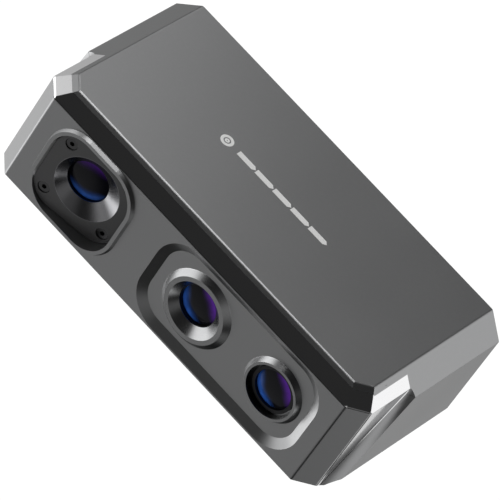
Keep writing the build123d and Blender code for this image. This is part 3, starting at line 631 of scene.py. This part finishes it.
class SCANNER_OT_cameras(bpy.types.Operator):
    """Both cameras with their hoods, barrels, glass and holders"""
    bl_idname = "scanner.cameras"
    bl_label = "Cameras"

    def execute(self, context):
        hood = plain_finish("Turned Hood", (0.27, 0.272, 0.275), 1.0, 0.26, spread=0.06, wear=0.5, dust=0.0)
        dress(hood, ["inner_camera_hood", "outer_camera_hood"])
        barrel = plain_finish("Black Barrel", (0.035, 0.035, 0.037), 1.0, 0.36, wear=0.2, dust=0.0)
        dress(barrel, ["inner_camera_barrel", "outer_camera_barrel", "projector_barrel",
                       "inner_camera_lock_ring", "outer_camera_lock_ring"])
        holder = plain_finish("Matte Black Plastic", (0.018, 0.018, 0.019), 0.0, 0.6)
        dress(holder, ["inner_camera_holder", "outer_camera_holder"])
        for name in ("inner_camera", "outer_camera"):
            low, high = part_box(f"{name}_front_lens")
            reach = (high.z - low.z) / 2
            middle = (low + high) / 2
            # The two colours are painted reflections near each rim; the filter gets paler painted ones.
            glass = lens_finish(f"Coated Glass {name}", middle, (0.04, 0.15, 0.62), (0.14, 0.03, 0.42), reach)
            dress(glass, [f"{name}_front_lens", f"{name}_rear_lens"])
            clear = lens_finish(f"Filter Glass {name}", middle, (0.2, 0.4, 0.45), (0.3, 0.4, 0.4), reach)
            dress(clear, [f"{name}_filter"])
        return {"FINISHED"}


class SCANNER_OT_electronics(bpy.types.Operator):
    """Circuit boards, chips, cables and heat sinks inside the housing"""
    bl_idname = "scanner.electronics"
    bl_label = "Electronics"

    def execute(self, context):
        boards = ["main_board", "button_board", "projector_led_board", "inner_camera_board",
                  "outer_camera_board"]
        dress(board_finish(), boards)
        chip = plain_finish("Moulded Chip", (0.018, 0.018, 0.02), 0.0, 0.55, grain=2500.0)
        dress(chip, ["processor", "memory_chips", "scan_switch", "board_connectors"])
        dress(plain_finish("Sensor Face", (0.04, 0.05, 0.06), 0.3, 0.15),
              ["inner_camera_sensor", "outer_camera_sensor"])
        dress(plain_finish("Emitter Resin", (0.80, 0.70, 0.30), 0.0, 0.3), ["projector_led", "status_led"])
        fins = brushed_finish("Bare Aluminium", (0.70, 0.70, 0.72), 0.32, (1.0, 1.0, 12.0))
        dress(fins, ["projector_heat_sink", "processor_heat_sink", "projector_engine", "camera_bracket",
                     "shield_can"])
        dress(plain_finish("Thermal Pad", (0.30, 0.34, 0.42), 0.0, 0.8), ["thermal_pad"])
        film = plain_finish("Cable Film", (0.62, 0.55, 0.38), 0.0, 0.42, grain=1200.0)
        dress(film, ["inner_camera_cable", "outer_camera_cable", "projector_cable", "button_cable"])
        tin = brushed_finish("Tinned Ends", (0.68, 0.68, 0.66), 0.35, (4.0, 1.0, 1.0))
        verts, faces = [], []
        rows, step = 10, 2.6 * MM
        inset = 3.4 * MM
        first, clear_end = 4.0 * MM, 9.0 * MM
        part = (1.6 * MM, 0.8 * MM, 0.5 * MM)
        for index in range(rows):
            y = MAIN_LOW.y + first + index * step
            for side in (-1, 1):
                x = side * (MAIN_HIGH.x - inset)
                if y < MAIN_HIGH.y - clear_end:
                    add_block(verts, faces, (x, y, MAIN_HIGH.z + part[2] / 2), part)
        new_piece("board_components", verts, faces, tin)
        return {"FINISHED"}


class SCANNER_OT_fasteners(bpy.types.Operator):
    """Screws, the tripod bush and its thread, and the cable socket shell"""
    bl_idname = "scanner.fasteners"
    bl_label = "Fasteners"

    def execute(self, context):
        screw = brushed_finish("Blackened Screw Steel", (0.27, 0.27, 0.28), 0.26, (1.0, 1.0, 6.0))
        dress(screw, ["case_screws", "camera_screws", "board_screws", "projector_mount_screws",
                      "rear_panel_screws"])
        dress(brushed_finish("Socket Steel", (0.55, 0.55, 0.56), 0.28, (1.0, 8.0, 1.0)), ["usb_socket"])
        brass = brushed_finish("Bush Brass", (0.62, 0.47, 0.22), 0.30, (1.0, 1.0, 8.0))
        dress(brass, ["tripod_insert"])
        self.thread(brass)
        return {"FINISHED"}

    def thread(self, material):
        """Helical ridge inside the bush."""
        middle = (INSERT_LOW + INSERT_HIGH) / 2
        pitch = sizes().thread_pitch
        steps, fade_steps = 40, 12
        margin = 0.6                    # plain bore at each end, in pitches
        foot = THREAD_BORE + 0.02 * MM
        turns = int((INSERT_HIGH.z - INSERT_LOW.z - 2 * margin * pitch) / pitch)
        verts, faces = [], []
        count = turns * steps
        for index in range(count + 1):
            angle = tau * index / steps
            fade = min(1.0, index / fade_steps, (count - index) / fade_steps)
            crest = THREAD_BORE - THREAD_DEPTH * fade
            z = INSERT_LOW.z + margin * pitch + pitch * index / steps
            for radius, rise in ((foot, -THREAD_FLANK), (crest, 0.0), (foot, THREAD_FLANK)):
                x = middle.x + radius * cos(angle)
                y = middle.y + radius * sin(angle)
                verts.append((x, y, z + rise * pitch))
        for index in range(count):
            a, b = index * 3, index * 3 + 3
            faces += [[a, a + 1, b + 1, b], [a + 1, a + 2, b + 2, b + 1], [a + 2, a, b, b + 2]]
        faces += [[0, 2, 1], [count * 3, count * 3 + 1, count * 3 + 2]]
        new_piece("tripod_thread", verts, faces, material)


# ------------------------------------------------------------------ studio
STAGE_REACH = 4.0
FLOOR_GAP = 0.2 * MM
FLOOR_GLOW = 1.05
# Area lamps, as (name, direction, width, height, brightness, distance).
LAMPS = (
    ("overhead", (-0.34, 0.10, 0.93), 1.7, 0.62, 3.7, 1.9),
    ("rear_left", (-0.55, 0.60, 0.58), 0.22, 0.30, 0.55, 0.42),
)
CAMERA_PLACE = (0.2735, -0.9351, 0.9186)
CAMERA_BACK = (0.2047, -0.7056, 0.6784)     # from the housing towards the camera
CAMERA_LEVEL = (0.9604, 0.2787, 0.0)        # the camera's right before it rolls
CAMERA_ROLL = 35.51                         # degrees
CAMERA_LENS = 383.45                        # focal length, mm on a 36 mm sensor


def facing_centre(obj, direction, distance):
    """Puts a flat stage item at a direction from the object's middle, facing it."""
    middle = (LOW + HIGH) / 2
    away = Vector(direction).normalized()
    obj.rotation_mode = "QUATERNION"
    obj.rotation_quaternion = away.to_track_quat("Z", "Y")
    obj.location = middle + away * distance


def softbox(name, direction, width, tall, radiance, distance):
    """Rectangular lamp of even brightness."""
    lamp = bpy.data.lights.new(name, "AREA")
    lamp.shape = "RECTANGLE"
    lamp.size, lamp.size_y = width, tall
    lamp.energy = radiance * width * tall * pi
    obj = bpy.data.objects.new(name, lamp)
    bpy.context.scene.collection.objects.link(obj)
    facing_centre(obj, direction, distance)


def floor_material():
    """Pale sweep, lit evenly."""
    material, tree, shader = new_material("Pale Floor")
    tree.nodes.remove(shader)
    lamp = tree.nodes.new("ShaderNodeEmission")
    lamp.inputs["Strength"].default_value = FLOOR_GLOW
    tree.links.new(lamp.outputs[0], tree.nodes["Material Output"].inputs["Surface"])
    return material


# Soft light from all round, as (direction, full inside degrees, none outside degrees, brightness).
ROOM_GLOWS = (
    ((-0.20, 0.75, 0.63), 12, 55, 0.14),
    ((0.22, 0.68, -0.70), 6, 15, 0.70),
    ((-0.06, 0.97, -0.22), 12, 28, 0.60),
    ((0.74, 0.62, -0.24), 8, 24, 0.25),
    ((0.34, -0.93, 0.14), 12, 32, 0.22),
    ((0.70, -0.68, 0.16), 8, 28, 0.28),
    ((-0.71, 0.25, -0.66), 14, 50, 1.00),
    ((-0.64, -0.27, -0.72), 8, 24, 1.95),
    ((-0.95, -0.33, 0.05), 14, 40, 2.60),
    ((-0.86, 0.10, 0.50), 12, 38, 0.42),
    ((0.68, 0.70, 0.22), 14, 36, 1.20),
    ((0.88, 0.12, -0.46), 6, 26, 1.15),
    ((-0.24, -0.70, -0.67), 10, 34, 0.42),
    ((-0.20, 0.25, -0.95), 8, 30, 1.30),
    ((0.75, -0.20, -0.62), 6, 20, 0.25),
)
ROOM_LEVEL = 0.025


def room(scene):
    """World whose glow depends on direction only; the camera itself sees it white."""
    world = bpy.data.worlds.new("Soft Room")
    scene.world = world
    world.use_nodes = True
    tree = world.node_tree
    air = tree.nodes["Background"]
    place = tree.nodes.new("ShaderNodeTexCoord")
    total = None
    for direction, inside, outside, bright in ROOM_GLOWS:
        dot = tree.nodes.new("ShaderNodeVectorMath")
        dot.operation = "DOT_PRODUCT"
        tree.links.new(place.outputs["Generated"], dot.inputs[0])
        dot.inputs[1].default_value = Vector(direction).normalized()
        rim, core = cos(radians(outside)), cos(radians(inside))
        glow = ramp_between(tree, dot.outputs["Value"], rim, core, 0.0, bright)
        total = glow if total is None else math_node(tree, "ADD", total, glow)
    total = math_node(tree, "ADD", total, ROOM_LEVEL)
    seen = tree.nodes.new("ShaderNodeLightPath")
    level = tree.nodes.new("ShaderNodeMix")
    tree.links.new(seen.outputs["Is Camera Ray"], level.inputs["Factor"])
    tree.links.new(total, level.inputs["A"])
    level.inputs["B"].default_value = 1.0
    tree.links.new(level.outputs["Result"], air.inputs["Strength"])
    air.inputs["Color"].default_value = (1.0, 1.0, 1.0, 1.0)


class SCANNER_OT_stage(bpy.types.Operator):
    """Pale floor, soft lights, room glow and the camera"""
    bl_idname = "scanner.stage"
    bl_label = "Studio"

    def execute(self, context):
        scene = context.scene
        scene.view_settings.view_transform = "Standard"
        mesh = bpy.data.meshes.new("floor")
        r = STAGE_REACH
        mesh.from_pydata([(-r, -r, 0), (r, -r, 0), (r, r, 0), (-r, r, 0)], [], [[0, 1, 2, 3]])
        floor = bpy.data.objects.new("floor", mesh)
        scene.collection.objects.link(floor)
        floor.location.z = LOW.z - FLOOR_GAP
        floor.visible_glossy = False
        mesh.materials.append(floor_material())
        room(scene)
        for lamp in LAMPS:
            softbox(*lamp)
        self.camera(scene)
        return {"FINISHED"}

    def camera(self, scene):
        """Long lens, looking down on the front right, rolled so that the box runs along a diagonal."""
        lens = bpy.data.cameras.new("camera")
        lens.sensor_width = 36.0
        lens.lens = CAMERA_LENS
        lens.clip_start, lens.clip_end = 0.05, 20.0
        camera = bpy.data.objects.new("camera", lens)
        scene.collection.objects.link(camera)
        scene.camera = camera
        back = Vector(CAMERA_BACK).normalized()
        level = Vector(CAMERA_LEVEL).normalized()
        upward = back.cross(level)
        roll = radians(CAMERA_ROLL)
        right = cos(roll) * level + sin(roll) * upward
        up = -sin(roll) * level + cos(roll) * upward
        turn = Matrix((right, up, back)).transposed().to_4x4()
        camera.matrix_world = Matrix.Translation(CAMERA_PLACE) @ turn


class SCANNER_PT_panel(bpy.types.Panel):
    """Lists the steps that finish the scanner"""
    bl_idname = "SCANNER_PT_panel"
    bl_label = "Handheld Scanner"
    bl_space_type = "VIEW_3D"
    bl_region_type = "UI"
    bl_category = "Scanner"

    def draw(self, context):
        layout = self.layout
        for group in (context.scene.scanner_sizes, context.scene.scanner_colours):
            box = layout.box()
            for name in group.__annotations__:
                box.prop(group, name)
        for operator in OPERATORS:
            layout.operator(operator.bl_idname)


OPERATORS = (
    SCANNER_OT_housing,
    SCANNER_OT_rear,
    SCANNER_OT_projector,
    SCANNER_OT_cameras,
    SCANNER_OT_electronics,
    SCANNER_OT_fasteners,
    SCANNER_OT_stage,
)
CLASSES = (ScannerSizes, ScannerColours, *OPERATORS, SCANNER_PT_panel)


def register():
    for item in CLASSES:
        bpy.utils.register_class(item)
    bpy.types.Scene.scanner_sizes = bpy.props.PointerProperty(type=ScannerSizes)
    bpy.types.Scene.scanner_colours = bpy.props.PointerProperty(type=ScannerColours)


def unregister():
    del bpy.types.Scene.scanner_colours
    del bpy.types.Scene.scanner_sizes
    for item in reversed(CLASSES):
        bpy.utils.unregister_class(item)


def main():
    register()
    bpy.ops.scanner.housing()
    bpy.ops.scanner.rear()
    bpy.ops.scanner.projector()
    bpy.ops.scanner.cameras()
    bpy.ops.scanner.electronics()
    bpy.ops.scanner.fasteners()
    bpy.ops.scanner.stage()


if __name__ == "__main__":
    main()
